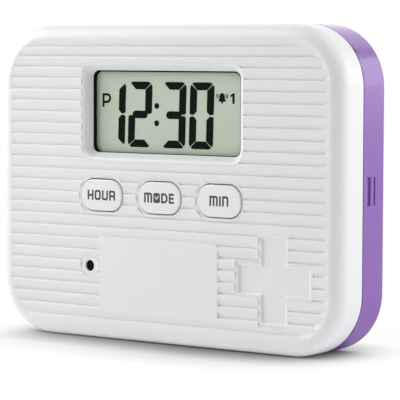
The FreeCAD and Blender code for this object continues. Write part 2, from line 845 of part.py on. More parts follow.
def pocket(sx, sz):
    # One compartment, with its large corner at the box's own corner
    outer_radius = corner_radius - side_wall
    inner_half_height = mid_z - side_wall
    near = divider / 2
    left, right = (near, inner_half_width) if sx > 0 else (-inner_half_width, -near)
    low, high = (mid_z + near, mid_z + inner_half_height) if sz > 0 else (mid_z - inner_half_height, mid_z - near)
    radii = [outer_radius if (sx, sz) == corner else pocket_corner
             for corner in ((-1, -1), (1, -1), (1, 1), (-1, 1))]
    face = Part.Face(cornered_wire(left, right, low, high, radii, tray_rim_y - overrun))
    block = face.extrude(Vec(0, tray_floor_depth + overrun, 0))
    return block.makeFillet(pocket_foot, edges_in_plane(block, floor_y))


def latch_housing_half():
    return latch_width / 2 + moving_clearance + fit_clearance + housing_wall


def latch_housing():
    inside = latch_outside_x() - latch_arm - moving_clearance - fit_clearance - housing_wall
    half = latch_housing_half()
    return slab(inside, half_width, tray_rim_y - 2 * overrun, back_y, mid_z - half, mid_z + half)


def latch_cuts():
    room = moving_clearance + fit_clearance
    half = latch_width / 2 + room
    tooth_y = parting_y + tooth_depth
    arm_room = slab(latch_outside_x() - latch_arm - room, inner_half_width, tray_rim_y - overrun,
                    parting_y + latch_reach + room, mid_z - half, mid_z + half)
    tooth_room = slab(inner_half_width - overrun, latch_outside_x() + tooth_height + moving_clearance,
                      tooth_y - fit_clearance, tooth_y + tooth_length + moving_clearance, mid_z - half, mid_z + half)
    slot = slab(inner_half_width - overrun, half_width + overrun, tooth_y, tooth_y + slot_width,
                mid_z - pry_height / 2, mid_z + pry_height / 2)
    steep = pry_depth / (pry_end - pry_start)
    ramp = prism([Vec(half_width + steep * overrun, parting_y + pry_start - overrun, mid_z - pry_height / 2),
                  Vec(half_width - pry_depth, parting_y + pry_end, mid_z - pry_height / 2),
                  Vec(half_width + steep * overrun, parting_y + pry_end, mid_z - pry_height / 2)],
                 Vec(0, 0, pry_height))
    return [arm_room, tooth_room, slot, ramp]


def pill_tray():
    lid_spans, tray_spans = hinge_spans()
    tray = box_half(tray_rim_y, back_y, back_y, tray_edge_radius)
    housing = latch_housing()
    for sx in (-1, 1):
        for sz in (-1, 1):
            tray = tray.cut(pocket(sx, sz).cut(housing))
    lowered = slab(-inner_half_width + pocket_corner, latch_outside_x(), tray_rim_y - overrun,
                   tray_rim_y + divider_drop, side_wall + pocket_corner, box_height - side_wall - pocket_corner)
    tray = tray.cut(lowered)
    tray = joined([tray] + [knuckle(z0, z1, 1) for z0, z1 in tray_spans])
    cuts = [knuckle_room(z0, z1) for z0, z1 in lid_spans]
    cuts += [pin_bore(z0, z1, press_clearance) for z0, z1 in tray_spans]
    return tray.cut(cuts + latch_cuts())


def hinge_pin():
    return post(hinge_x, parting_y, pin_radius, mid_z - hinge_length / 2, mid_z + hinge_length / 2)


os.makedirs("parts", exist_ok=True)
emit("front_cover", front_cover())
emit("lcd_gasket", lcd_gasket())
emit("lcd_panel", lcd_panel())
emit("lcd_connector", lcd_connector())
for key_name, key_x in zip(key_names, key_places):
    emit(key_name + "_button", button(key_x))
    emit(key_name + "_dome", dome(key_x))
emit("contact_pads", Part.makeCompound(contact_pads()))
emit("main_board", main_board())
emit("board_screws", Part.makeCompound([board_screw(x, z) for x, z in board_boss_places]))
emit("driver_chip_blob", driver_chip_blob())
emit("quartz_crystal", quartz_crystal())
emit("board_passives", Part.makeCompound(board_passives()))
emit("sound_mesh", disc(sound_x, sound_z, mesh_radius, sound_seat_y, sound_seat_y + mesh_thickness))
emit("buzzer_disc", disc(sound_x, sound_z, sounder_radius, sounder_y, sounder_y + sounder_thickness))
emit("buzzer_ceramic", disc(sound_x, sound_z, ceramic_radius, sounder_y + sounder_thickness,
                            sounder_y + sounder_thickness + ceramic_thickness))
emit("buzzer_springs", Part.makeCompound(buzzer_springs()))
emit("coin_cell", coin_cell())
emit("battery_contact_negative", battery_contact_negative())
emit("battery_contact_positive", battery_contact_positive())
emit("battery_door", battery_door())
emit("lid_back_plate", lid_back_plate())
emit("lid_screws", Part.makeCompound([lid_screw(x, z) for x, z in lid_boss_places]))
emit("latch_hook", latch_hook())
emit("pill_tray", pill_tray())
emit("hinge_pin", hinge_pin())
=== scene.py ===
import json
import math

import bmesh
import bpy
from mathutils import Matrix, Vector


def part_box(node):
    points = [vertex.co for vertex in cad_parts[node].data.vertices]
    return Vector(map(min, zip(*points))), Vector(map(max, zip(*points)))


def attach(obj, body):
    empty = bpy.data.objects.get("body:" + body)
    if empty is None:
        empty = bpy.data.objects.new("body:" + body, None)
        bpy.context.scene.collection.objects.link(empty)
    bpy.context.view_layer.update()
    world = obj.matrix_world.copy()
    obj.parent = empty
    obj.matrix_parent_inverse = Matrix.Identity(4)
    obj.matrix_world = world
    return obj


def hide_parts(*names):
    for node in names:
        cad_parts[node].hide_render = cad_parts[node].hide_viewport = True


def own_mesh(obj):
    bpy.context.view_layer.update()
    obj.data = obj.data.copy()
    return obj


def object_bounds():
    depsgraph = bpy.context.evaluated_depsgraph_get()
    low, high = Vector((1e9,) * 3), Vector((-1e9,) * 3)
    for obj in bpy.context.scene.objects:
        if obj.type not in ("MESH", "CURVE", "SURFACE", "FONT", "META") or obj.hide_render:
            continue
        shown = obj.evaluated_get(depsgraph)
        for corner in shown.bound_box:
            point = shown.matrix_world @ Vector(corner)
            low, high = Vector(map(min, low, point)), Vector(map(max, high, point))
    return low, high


mm = 0.001
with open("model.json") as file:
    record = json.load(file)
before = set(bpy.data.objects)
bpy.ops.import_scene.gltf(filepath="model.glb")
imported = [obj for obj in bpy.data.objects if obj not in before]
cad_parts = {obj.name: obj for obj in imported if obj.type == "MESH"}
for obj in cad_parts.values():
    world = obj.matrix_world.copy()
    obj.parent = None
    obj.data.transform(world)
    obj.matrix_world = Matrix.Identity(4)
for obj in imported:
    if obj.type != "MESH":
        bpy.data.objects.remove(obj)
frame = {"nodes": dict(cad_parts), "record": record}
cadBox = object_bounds()
nodes = frame["nodes"]
print("frame loaded:", len(nodes), "CAD nodes")


# one output of a shader node; sums and products of it add Math nodes
class Wire:
    def __init__(self, finish, out):
        self.finish = finish
        self.out = out

    def math(self, operation, a, b):
        return self.finish.node("ShaderNodeMath", {"operation": operation}, {0: a, 1: b})

    def __add__(self, other):
        return self.math("ADD", self, other)

    def __radd__(self, other):
        return self.math("ADD", other, self)

    def __sub__(self, other):
        return self.math("SUBTRACT", self, other)

    def __rsub__(self, other):
        return self.math("SUBTRACT", other, self)

    def __mul__(self, other):
        return self.math("MULTIPLY", self, other)

    def __mod__(self, other):
        return self.math("FLOORED_MODULO", self, other)

    def __gt__(self, other):
        return self.math("GREATER_THAN", self, other)

    def __lt__(self, other):
        return self.math("LESS_THAN", self, other)


# a material with one Principled shader and Object coordinates
class Finish:
    def __init__(self, name):
        self.material = bpy.data.materials.new(name)
        self.material.use_nodes = True
        self.tree = self.material.node_tree
        self.tree.nodes.clear()
        self.shader = self.tree.nodes.new("ShaderNodeBsdfPrincipled")
        output = self.tree.nodes.new("ShaderNodeOutputMaterial")
        self.tree.links.new(self.shader.outputs[0], output.inputs[0])
        self.place = self.node("ShaderNodeTexCoord", {}, {}, "Object")

    def node(self, kind, settings, sockets, out=0):
        made = self.tree.nodes.new(kind)
        for key, value in settings.items():
            setattr(made, key, value)
        for key, value in sockets.items():
            self.feed(made.inputs[key], value)
        return Wire(self, made.outputs[out])

    def feed(self, socket, value):
        if isinstance(value, Wire):
            self.tree.links.new(value.out, socket)
        else:
            socket.default_value = value

    def set(self, **values):
        for key, value in values.items():
            self.feed(self.shader.inputs[key.replace("_", " ")], value)

    def stretched(self, scale):
        return self.node("ShaderNodeMapping", {}, {"Vector": self.place, "Scale": scale})

    def noise(self, size, detail=2.0, vector=None):
        return self.node("ShaderNodeTexNoise", {"normalize": True},
                         {"Vector": vector or self.place, "Scale": 1 / size, "Detail": detail}, 0)

    def blendColours(self, factor, first, second):
        return self.node("ShaderNodeMix", {"data_type": "RGBA"}, {0: factor, 6: first, 7: second}, 2)

    def axis(self, name):
        return self.node("ShaderNodeSeparateXYZ", {}, {0: self.place}, name)

    def bump(self, height, strength, distance):
        return self.node("ShaderNodeBump", {}, {"Strength": strength, "Distance": distance, "Height": height})


def rgb(red, green, blue):
    # screen values, 0 to 255, to the linear colour that the shader takes
    def linear(value):
        share = value / 255
        return share / 12.92 if share <= 0.04045 else ((share + 0.055) / 1.055) ** 2.4
    return linear(red), linear(green), linear(blue), 1.0


# moulded plastics: broad cloudiness in colour and gloss, and the fine spark texture of the mould
plastics = {
    "reededWhite": {"light": rgb(236, 236, 237), "dark": rgb(231, 232, 233),
                    "roughness": 0.42, "grain": 0.16},
    "keyWhite": {"light": rgb(240, 240, 241), "dark": rgb(235, 236, 237),
                 "roughness": 0.36, "grain": 0.08},
    "backPlateWhite": {"light": rgb(214, 215, 217), "dark": rgb(207, 208, 210),
                       "roughness": 0.5, "grain": 0.3},
    "trayPurple": {"light": rgb(137, 92, 177), "dark": rgb(132, 86, 172),
                   "roughness": 0.2, "grain": 0.04,
                   # rim: painted shade, a deeper purple along the back edge fillet
                   "rim": {"from": 6.8 * mm, "to": 7.9 * mm, "colour": rgb(84, 44, 126),
                           "turned": 0.8}},
    "domeSilicone": {"light": rgb(206, 207, 205), "dark": rgb(194, 195, 194),
                     "roughness": 0.55, "grain": 0.05},
    "foamBlack": {"light": rgb(16, 16, 17), "dark": rgb(9, 9, 10),
                  "roughness": 0.85, "grain": 0.8, "gloss": 0.08},
    "firedCeramic": {"light": rgb(231, 228, 219), "dark": rgb(220, 216, 206),
                     "roughness": 0.6, "grain": 0.3},
    "castResin": {"light": rgb(28, 28, 30), "dark": rgb(17, 17, 19),
                  "roughness": 0.25, "grain": 0.2},
    "legendGrey": {"light": rgb(82, 82, 86), "dark": rgb(74, 74, 79),
                   "roughness": 0.6, "grain": 0.1, "gloss": 0.2},
    "displayInk": {"light": rgb(17, 20, 17), "dark": rgb(12, 15, 12),
                   "roughness": 0.6, "grain": 0.05, "gloss": 0.04},
}
# what they all share
moulding = {"cloud": 14 * mm, "cloudDetail": 2, "spark": 0.22 * mm, "sparkDetail": 3, "sparkDepth": 0.02 * mm,
            "smoother": 0.05, "cloudRough": 0.06, "sparkRough": 0.04, "gloss": 0.5}


def mouldedPlastic(name):
    look = plastics[name]
    finish = Finish(name)
    cloud = finish.noise(moulding["cloud"], moulding["cloudDetail"])
    spark = finish.noise(moulding["spark"], moulding["sparkDetail"])
    colour = finish.blendColours(cloud, look["dark"], look["light"])
    if "rim" in look:
        # painted shade: the tray's rounded back edge, where it turns away from the light, is coloured a
        # deeper purple
        rim = look["rim"]
        normal = finish.node("ShaderNodeNewGeometry", {}, {}, "Normal")
        facing = finish.node("ShaderNodeSeparateXYZ", {}, {0: normal}, "Y")
        edge = finish.node("ShaderNodeMapRange", {"interpolation_type": "SMOOTHSTEP"},
                           {"Value": finish.axis("Y"), "From Min": rim["from"], "From Max": rim["to"]})
        colour = finish.blendColours(edge * (facing * facing < rim["turned"]), colour, rim["colour"])
    patchy = look["roughness"] - moulding["smoother"] + cloud * moulding["cloudRough"]
    finish.set(Base_Color=colour,
               Roughness=patchy + spark * moulding["sparkRough"],
               Specular_IOR_Level=look.get("gloss", moulding["gloss"]),
               Normal=finish.bump(spark, look["grain"], moulding["sparkDepth"]))
    return finish.material


metals = {
    "platedSteel": {"light": rgb(205, 206, 208), "dark": rgb(178, 180, 183), "roughness": 0.3},
    "rolledBrass": {"light": rgb(214, 183, 108), "dark": rgb(193, 157, 84), "roughness": 0.34},
    "hingeSteel": {"light": rgb(196, 197, 200), "dark": rgb(166, 168, 172), "roughness": 0.26},
}


brushing = {"line": 0.3 * mm, "detail": 4, "stretch": (1, 1, 0.06), "cloud": 3 * mm, "smoother": 0.08,
            "lineRough": 0.16, "bump": 0.12, "depth": 0.01 * mm}


def brushedMetal(name):
    look = metals[name]
    finish = Finish(name)
    brushed = finish.noise(brushing["line"], brushing["detail"], finish.stretched(brushing["stretch"]))
    cloud = finish.noise(brushing["cloud"])
    finish.set(Base_Color=finish.blendColours(cloud, look["dark"], look["light"]), Metallic=1.0,
               Roughness=look["roughness"] - brushing["smoother"] + brushed * brushing["lineRough"],
               Normal=finish.bump(brushed, brushing["bump"], brushing["depth"]))
    return finish.material


glass = {"light": rgb(198, 208, 190), "dark": rgb(185, 196, 177), "speckle": 0.12 * mm, "sheen": 22 * mm,
         "roughness": 0.3, "speckleRough": 0.08, "coat": 0.1, "coatRoughness": 0.1}


def displayGlass():
    # reflective display behind its front polariser: speckled reflector with a broad, cloudy sheen
    finish = Finish("displayGlass")
    speckle = finish.noise(glass["speckle"], 2)
    sheen = finish.noise(glass["sheen"], 1)
    tone = speckle * 0.5 + sheen * 0.5
    finish.set(Base_Color=finish.blendColours(tone, glass["dark"], glass["light"]),
               Roughness=glass["roughness"] + speckle * glass["speckleRough"],
               Coat_Weight=glass["coat"], Coat_Roughness=glass["coatRoughness"])
    return finish.material


board = {"mask": rgb(30, 104, 62), "overCopper": rgb(44, 132, 80), "tin": rgb(196, 198, 196),
         "runPitch": 9 * mm, "runs": {"Mortar Size": 0.03, "Brick Width": 0.7, "Row Height": 0.16},
         "runDepth": 0.03 * mm, "bump": 0.3, "viaPitch": 5 * mm, "viaRadius": 0.07, "viaMetal": 0.9,
         "roughness": 0.34, "cloud": 4 * mm, "cloudRough": 0.1}


def circuitBoard():
    # solder mask over copper runs, with tinned vias
    finish = Finish("circuitBoard")
    upright = finish.node("ShaderNodeMapping", {},
                          {"Vector": finish.place, "Rotation": (math.radians(90), 0, 0)})
    runs = finish.node("ShaderNodeTexBrick", {"offset": 0.37, "squash": 0.6, "squash_frequency": 3},
                       {"Vector": upright, "Color1": (1, 1, 1, 1), "Color2": (0.8, 0.8, 0.8, 1),
                        "Mortar": (0, 0, 0, 1), "Scale": 1 / board["runPitch"], **board["runs"]}, 1)
    cells = finish.node("ShaderNodeTexVoronoi", {"feature": "F1"},
                        {"Vector": finish.place, "Scale": 1 / board["viaPitch"]}, "Distance")
    vias = cells < board["viaRadius"]
    mask = finish.blendColours(runs, board["mask"], board["overCopper"])
    finish.set(Base_Color=finish.blendColours(vias, mask, board["tin"]), Metallic=vias * board["viaMetal"],
               Roughness=board["roughness"] + finish.noise(board["cloud"]) * board["cloudRough"],
               Normal=finish.bump(runs, board["bump"], board["runDepth"]))
    return finish.material


chips = {"length": 1.6 * mm, "pitch": 4.0 * mm, "cap": 0.35 * mm, "slack": 0.01 * mm,
         "light": rgb(150, 120, 92), "dark": rgb(128, 100, 76), "tin": rgb(206, 207, 208),
         "grain": 0.4 * mm, "capMetal": 0.95, "roughness": 0.42, "capSmoother": 0.1}


def tinnedChip():
    # small brown capacitors with a tinned cap at each end
    finish = Finish("tinnedChip")
    low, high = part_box("board_passives")
    along = (finish.axis("X") - low.x + chips["slack"]) % chips["pitch"]
    caps = (along < chips["cap"]) + (along > chips["length"] - chips["cap"])
    body = finish.blendColours(finish.noise(chips["grain"], 3), chips["dark"], chips["light"])
    finish.set(Base_Color=finish.blendColours(caps, body, chips["tin"]), Metallic=caps * chips["capMetal"],
               Roughness=chips["roughness"] - caps * chips["capSmoother"])
    return finish.material


strip = {"pitch": 0.36 * mm, "layer": 0.16 * mm, "clear": rgb(150, 152, 156), "carbon": rgb(28, 28, 30),
         "roughness": 0.55, "cloud": 0.5 * mm, "cloudRough": 0.1}


def stripedRubber():
    # connector strip: thin conductive layers between clear ones
    finish = Finish("stripedRubber")
    layers = (finish.axis("X") % strip["pitch"]) < strip["layer"]
    finish.set(Base_Color=finish.blendColours(layers, strip["clear"], strip["carbon"]),
               Roughness=strip["roughness"] + finish.noise(strip["cloud"]) * strip["cloudRough"])
    return finish.material


finishes = {name: mouldedPlastic(name) for name in plastics}
finishes.update({name: brushedMetal(name) for name in metals})
finishes["displayGlass"] = displayGlass()
finishes["circuitBoard"] = circuitBoard()
finishes["tinnedChip"] = tinnedChip()
finishes["stripedRubber"] = stripedRubber()
print("finishes:", len(finishes))

# which finish each CAD node wears, and the nodes that get a smooth shaded copy
nodeFinishes = {
    "front_cover": "reededWhite", "lid_back_plate": "backPlateWhite", "battery_door": "backPlateWhite",
    "latch_hook": "reededWhite", "hour_button": "keyWhite", "mode_button": "keyWhite",
    "minute_button": "keyWhite", "pill_tray": "trayPurple", "hinge_pin": "hingeSteel",
    "lcd_gasket": "foamBlack", "sound_mesh": "foamBlack",
    "lcd_panel": "displayGlass", "lcd_connector": "stripedRubber", "main_board": "circuitBoard",
    "driver_chip_blob": "castResin", "board_passives": "tinnedChip", "quartz_crystal": "platedSteel",
    "contact_pads": "rolledBrass", "hour_dome": "domeSilicone", "mode_dome": "domeSilicone",
    "minute_dome": "domeSilicone", "buzzer_disc": "rolledBrass", "buzzer_ceramic": "firedCeramic",
    "buzzer_springs": "platedSteel", "coin_cell": "platedSteel", "battery_contact_positive": "platedSteel",
    "battery_contact_negative": "platedSteel", "lid_screws": "platedSteel", "board_screws": "platedSteel",
}
skins = {"nodes": ["front_cover", "pill_tray", "lid_back_plate", "battery_door", "hour_button", "mode_button",
                   "minute_button", "hinge_pin", "lid_screws", "coin_cell", "hour_dome", "mode_dome",
                   "minute_dome"],
         "merge": 0.002 * mm, "sharp": math.radians(32), "flatWeight": 100}
# each dome with the joint of its key, and the key's travel with a little slack
domes = {"joints": {"hour_dome": "hour_press", "mode_dome": "mode_press", "minute_dome": "minute_press"},
         "travel": 0.62 * mm}
bodyOf = {node: body for body, members in frame["record"]["behaviour"]["bodies"].items() for node in members}


def wear(obj, material):
    obj.data.materials.clear()
    obj.data.materials.append(material)


def addMesh(name, bm):
    mesh = bpy.data.meshes.new(name)
    bm.to_mesh(mesh)
    bm.free()
    obj = bpy.data.objects.new(name, mesh)
    bpy.context.collection.objects.link(obj)
    return obj


def addPiece(name, bm, material, body):
    obj = addMesh(name, bm)
    wear(obj, material)
    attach(obj, body)
    return obj


def addSkin(node, material):
    # merged copy of a CAD node with smooth fillets and flat faces
    bm = bmesh.new()
    bm.from_mesh(nodes[node].data)
    bmesh.ops.remove_doubles(bm, verts=bm.verts, dist=skins["merge"])
    for face in bm.faces:
        face.smooth = True
    for edge in bm.edges:
        edge.smooth = edge.calc_face_angle(math.pi) < skins["sharp"]
    skin = addPiece(node + "_skin", bm, material, bodyOf[node])
    weighted = skin.modifiers.new("flat faces", "WEIGHTED_NORMAL")
    weighted.keep_sharp = True
    weighted.weight = skins["flatWeight"]
    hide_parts(node)
    return skin


def flattenDome(skin):
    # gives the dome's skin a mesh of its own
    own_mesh(skin)


for node, finishName in nodeFinishes.items():
    if node in skins["nodes"]:
        skin = addSkin(node, finishes[finishName])
        if node in domes["joints"]:
            flattenDome(skin)
    else:
        wear(nodes[node], finishes[finishName])
print("nodes dressed:", len(nodeFinishes), "with", len(skins["nodes"]), "smooth skins")


roundSteps = 4  # steps in a rounded corner
dotSides = 28


def addPlate(bm, corners, front, back, radius):
    # flat plate seen from the front: its corners as (x, z), rounded off, then given a thickness
    face = bm.faces.new([bm.verts.new((x, front, z)) for x, z in corners])
    if radius > 0:
        made = bmesh.ops.bevel(bm, geom=list(face.verts), offset=radius, offset_type="OFFSET",
                               segments=roundSteps, profile=0.5, affect="VERTICES", material=-1,
                               clamp_overlap=True)
        around = made["faces"] + [f for v in made["verts"] for f in v.link_faces]
        face = max(around, key=lambda f: f.calc_area())
    solid = bmesh.ops.extrude_face_region(bm, geom=[face])
    moved = [part for part in solid["geom"] if isinstance(part, bmesh.types.BMVert)]
    bmesh.ops.translate(bm, verts=moved, vec=(0, back - front, 0))


def addDot(bm, x, z, radius, front, back):
    turned = Matrix.Translation((x, (front + back) / 2, z)) @ Matrix.Rotation(math.radians(90), 4, "X")
    bmesh.ops.create_cone(bm, cap_ends=True, segments=dotSides, radius1=radius, radius2=radius,
                          depth=abs(back - front), matrix=turned)


def barCorners(x0, x1, z0, z1):
    return [(x0, z0), (x1, z0), (x1, z1), (x0, z1)]


def arcPoints(x, z, radius, first, last, steps=4):
    angles = [math.radians(first + (last - first) * step / steps) for step in range(steps + 1)]
    return [(x + radius * math.cos(angle), z + radius * math.sin(angle)) for angle in angles]


def addStroke(bm, points, width, front, back, cap=0.0):
    # flat ribbon along a run of points, mitred at its bends; open ends reach past their points by the cap
    path = [Vector(point) for point in points]
    if path[0] != path[-1]:
        path[0] += (path[0] - path[1]).normalized() * cap
        path[-1] += (path[-1] - path[-2]).normalized() * cap
    ways = [(after - before).normalized() for before, after in zip(path, path[1:])]
    sides = []
    for point, behind, ahead in zip(path, ways[:1] + ways, ways + ways[-1:]):
        bend = (behind + ahead).normalized()
        reach = width / 2 / bend.dot(ahead)
        side = Vector((-bend.y, bend.x)) * reach
        sides.append((point + side, point - side))
    for (leftBefore, rightBefore), (leftAfter, rightAfter) in zip(sides, sides[1:]):
        addPlate(bm, [leftBefore, rightBefore, rightAfter, leftAfter], front, back, 0)


# display: seven segment digits, colon and small signs on the glass
display = {
    "ink": 0.04 * mm,
    "digit": {"width": 6.2 * mm, "height": 13.85 * mm, "upright": 1.8 * mm, "bar": 1.62 * mm,
              "gap": 0.15 * mm, "corner": 1.1 * mm, "notch": 0.42 * mm, "round": 0.12 * mm, "slant": 0.03,
              "innerEnd": 0.6, "barEnd": 0.62, "barRound": 0.48},
    "low": 41.2 * mm,
    "digits": [("1", -18.15 * mm), ("2", -11.12 * mm), ("3", -2.2 * mm), ("0", 4.95 * mm)],
    "colon": {"x": -3.4 * mm, "z": (50.0 * mm, 46.35 * mm), "radius": 0.62 * mm},
    "letterP": {"x": -17.95 * mm, "z": 49.55 * mm, "width": 2.3 * mm, "height": 2.95 * mm,
                "stroke": 0.5 * mm, "bowl": 0.27, "steps": 8},
    "bell": {"x": 13.46 * mm, "z": 50.8 * mm, "width": 1.8 * mm, "height": 2.1 * mm, "dome": 0.74,
             "steps": 8, "rim": (0.18, 0.28), "waist": 0.45, "clapper": {"rise": 0.12, "radius": 0.13},
             "wave": 0.15 * mm, "waves": (1.14, 1.5), "waveRise": 0.7, "waveTurn": 22},
    "one": {"x": 15.55 * mm, "z": 50.75 * mm, "width": 1.05 * mm, "height": 2.15 * mm,
            "stroke": 0.52 * mm, "flag": 0.7, "shoulder": 0.7, "above": 0.4, "below": 0.2},
}
segmentsOn = {"0": "abcdef", "1": "bc", "2": "abged", "3": "abgcd"}


def digitSegments():
    # outlines of the seven segments in a digit's own corner, with round outer corners and mitred joints
    size = display["digit"]
    w, h, t, s, gap = size["width"], size["height"], size["upright"], size["bar"], size["gap"]
    r, notch = size["corner"], size["notch"]
    mid = h / 2
    topLeft = [(x + gap, z) for x, z in arcPoints(r, h - r, r, 135, 90)]
    topRight = [(x - gap, z) for x, z in arcPoints(w - r, h - r, r, 90, 45)]
    top = topLeft + topRight + [(w - t - gap / 2, h - s), (t + gap / 2, h - s)]
    right = [(x, z - gap) for x, z in arcPoints(w - r, h - r, r, 45, 0)]
    right += [(w, mid + notch), (w - notch, mid + gap), (w - t * size["innerEnd"], mid + gap),
              (w - t, mid + s / 2 + gap / 2), (w - t, h - s - gap / 2)]
    left = [(w - x, z) for x, z in reversed(right)]
    end = t * size["barEnd"]
    middle = barCorners(end, w - end, mid - s / 2, mid + s / 2)
    return {"a": top, "b": right, "f": left, "g": middle,
            "c": [(x, h - z) for x, z in reversed(right)], "e": [(x, h - z) for x, z in reversed(left)],
            "d": [(x, h - z) for x, z in reversed(top)]}


def addDigits(bm, front, back):
    size = display["digit"]
    outlines = digitSegments()
    for figure, x0 in display["digits"]:
        for name in segmentsOn[figure]:
            corners = [(x0 + x + z * size["slant"], display["low"] + z) for x, z in outlines[name]]
            rounding = size["bar"] * size["barRound"] if name == "g" else size["round"]
            addPlate(bm, corners, front, back, rounding)
    colon = display["colon"]
    for z in colon["z"]:
        addDot(bm, colon["x"], z, colon["radius"], front, back)


def addLetterP(bm, front, back):
    sign = display["letterP"]
    t = sign["stroke"]
    left, low = sign["x"] + t / 2, sign["z"]
    high = low + sign["height"] - t / 2
    radius = sign["height"] * sign["bowl"]
    middle = sign["x"] + sign["width"] - t / 2 - radius
    bowl = arcPoints(middle, high - radius, radius, 90, -90, sign["steps"])
    addStroke(bm, [(left, low), (left, high)] + bowl + [(left + t / 2, high - 2 * radius)], t, front, back)


def addBell(bm, front, back):
    sign = display["bell"]
    x, z, w, h, wave = sign["x"], sign["z"], sign["width"] / 2, sign["height"], sign["wave"]
    dome, waist = w * sign["dome"], z + h * sign["waist"]
    rimLow, rimHigh = [z + h * share for share in sign["rim"]]
    body = [(x - w, rimLow), (x + w, rimLow), (x + w, rimHigh), (x + dome, waist)]
    body += arcPoints(x, z + h - dome, dome, 0, 180, sign["steps"])
    body += [(x - dome, waist), (x - w, rimHigh)]
    addPlate(bm, body, front, back, 0)
    clapper = sign["clapper"]
    addDot(bm, x, z + h * clapper["rise"], h * clapper["radius"], front, back)
    middle, turn = z + h * sign["waveRise"], sign["waveTurn"]
    for side in (0, 180):
        for reach in sign["waves"]:
            addStroke(bm, arcPoints(x, middle, w * reach, side - turn, side + turn), wave, front, back)


def addSmallOne(bm, front, back):
    sign = display["one"]
    x, z, w, h, t = sign["x"], sign["z"], sign["width"], sign["height"], sign["stroke"]
    flag = z + h * sign["flag"]
    outline = [(x + w - t, z), (x + w, z), (x + w, z + h), (x + w - t * sign["shoulder"], z + h)]
    outline += [(x, flag + t * sign["above"]), (x, flag - t * sign["below"]), (x + w - t, flag)]
    addPlate(bm, outline, front, back, 0)


def buildDisplay():
    low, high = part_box("lcd_panel")
    back = low.y
    front = back - display["ink"]
    bm = bmesh.new()
    for addSign in (addDigits, addLetterP, addBell, addSmallOne):
        addSign(bm, front, back)
    bmesh.ops.recalc_face_normals(bm, faces=bm.faces)
    addPiece("display_figures", bm, finishes["displayInk"], "lid")


# printed words on the keys: each letter is a few strokes, as shares of the letter's box
legends = {
    "ink": 0.02 * mm, "layer": 0.003 * mm, "height": 2.1 * mm, "stroke": 0.42 * mm, "space": 0.34 * mm,
    "words": {"hour_button": "HOUR", "mode_button": "MoDE", "minute_button": "MIN"},
    "widths": {"H": 1.6 * mm, "O": 1.62 * mm, "U": 1.62 * mm, "R": 1.6 * mm, "M": 2.1 * mm, "o": 1.7 * mm,
               "D": 1.65 * mm, "E": 1.3 * mm, "I": 0.42 * mm, "N": 1.55 * mm},
    "clockCorner": 0.4 * mm, "handWidth": 0.2 * mm,
}
arch = [(0, 0), (0, 1), (0.85, 1), (1, 0.88), (1, 0)]
letterShares = {
    "H": [[(0, 0), (0, 1)], [(1, 0), (1, 1)], [(0, 0.46), (1, 0.46)]],
    "O": [[(0, 0.5), (0, 0.88), (0.15, 1), (0.85, 1), (1, 0.88),
           (1, 0.12), (0.85, 0), (0.15, 0), (0, 0.12), (0, 0.5)]],
    "U": [[(0, 1), (0, 0.12), (0.15, 0), (0.85, 0), (1, 0.12), (1, 1)]],
    "R": [arch, [(0, 0.42), (1, 0.42)]],
    "M": [arch, [(0.5, 0), (0.5, 1)]],
    "D": [[(0, 0.5), (0, 1), (0.65, 1), (1, 0.72), (1, 0.28), (0.65, 0), (0, 0), (0, 0.5)]],
    "E": [[(1, 0), (0, 0), (0, 1), (1, 1)], [(0, 0.5), (0.9, 0.5)]],
    "I": [[(0, 0), (0, 1)]],
    "N": [arch],
}
clockHands = [(0.22, 0.68), (0.5, 0.36), (0.78, 0.72)]


def buildLegends():
    h, t, layer = legends["height"], legends["stroke"], legends["layer"]
    for node, word in legends["words"].items():
        low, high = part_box(node)
        back = low.y + layer
        front = low.y - legends["ink"]
        widths = [legends["widths"][letter] for letter in word]
        x = (low.x + high.x) / 2 - (sum(widths) + legends["space"] * (len(word) - 1)) / 2
        z = (low.z + high.z) / 2 - h / 2
        bm = bmesh.new()
        for letter, w in zip(word, widths):
            if letter == "o":
                addPlate(bm, barCorners(x, x + w, z, z + h), front, back, legends["clockCorner"])
                hands = bmesh.new()
                addStroke(hands, [(x + w * share, z + h * rise) for share, rise in clockHands],
                          legends["handWidth"], front - layer, front)
                bmesh.ops.recalc_face_normals(hands, faces=hands.faces)
                addPiece("clock_hands", hands, finishes["keyWhite"], node)
            else:
                for depth, run in enumerate(letterShares[letter]):
                    points = [(x + t / 2 + (w - t) * share, z + t / 2 + (h - t) * rise)
                              for share, rise in run]
                    addStroke(bm, points, t, front + depth * layer, back, t / 2)
            x += w + legends["space"]
        bmesh.ops.recalc_face_normals(bm, faces=bm.faces)
        addPiece(node + "_legend", bm, finishes["legendGrey"], node)


buildDisplay()
buildLegends()
print("display figures and key legends made")

# pale floor: the camera sees it white, with a painted shadow (occlusion in its white emission) where the box
# stands close over it
stage = {"half": 4.0, "colour": rgb(246, 246, 247), "roughness": 0.9, "gloss": 0.1, "glow": 0.2,
         "white": 0.92, "near": 0.2, "far": 0.5, "samples": 16,
         "contact": {"reach": 14 * mm, "depth": 2.0, "lean": (35, 0, 1)},
         "front": {"reach": 26 * mm, "depth": 0.5, "lean": (35, 0.7, 0.5)},
         "reflectedShade": {"reach": 70 * mm, "depth": 2.0, "lean": (0, 0, 1)}, "middle": 12 * mm}


